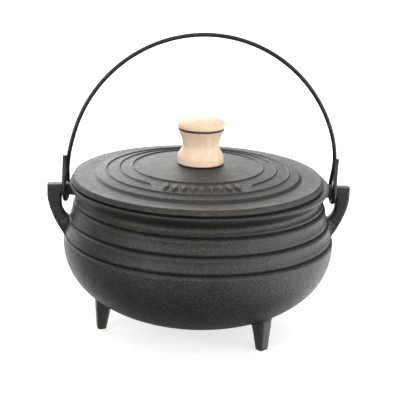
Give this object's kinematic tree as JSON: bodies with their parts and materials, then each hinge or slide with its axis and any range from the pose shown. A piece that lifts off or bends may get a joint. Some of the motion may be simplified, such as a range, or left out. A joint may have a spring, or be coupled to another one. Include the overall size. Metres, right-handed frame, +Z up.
{
  "type": "cast iron dutch oven",
  "caption": "Round-bellied cast iron cooking pot on short legs, with stepped bands, cast ears, a swinging wire bail and a domed lid with a turned wooden knob.",
  "frame": {"origin": "on the floor under the pot's axis, centre of the bounding box's base", "axes": "+Z up along the pot's axis, +X through the two ears and the bail's hinge, -Y the front"},
  "size_m": [0.3018, 0.27, 0.2978],
  "materials": {
    "pot_iron": "seasoned sand-cast iron, satin, fine grain",
    "lid_iron": "seasoned sand-cast iron, satin, fine grain",
    "bail_rod": "blackened steel rod, half gloss",
    "knob_wood": "turned pale wood, clear sealed, with a burnt groove",
    "insert_brass": "plain turned",
    "fastener_steel": "zinc plated"
  },
  "bodies": {
    "pot": {"pot": "pot_iron"},
    "lid": {"lid": "lid_iron", "knob": "knob_wood", "knob_insert": "insert_brass", "knob_screw": "fastener_steel", "knob_washer": "fastener_steel"},
    "bail": {"bail": "bail_rod"}
  },
  "joints": [
    {"name": "lid_lift", "type": "slide", "parent": "pot", "child": "lid", "axis": [0, 0, 1], "range_m": [0, 0.02]},
    {"name": "bail_swing", "type": "hinge", "parent": "pot", "child": "bail", "pos_m": [0, 0, 0.1405], "axis": [1, 0, 0], "range_deg": [-116, 116]}
  ]
}
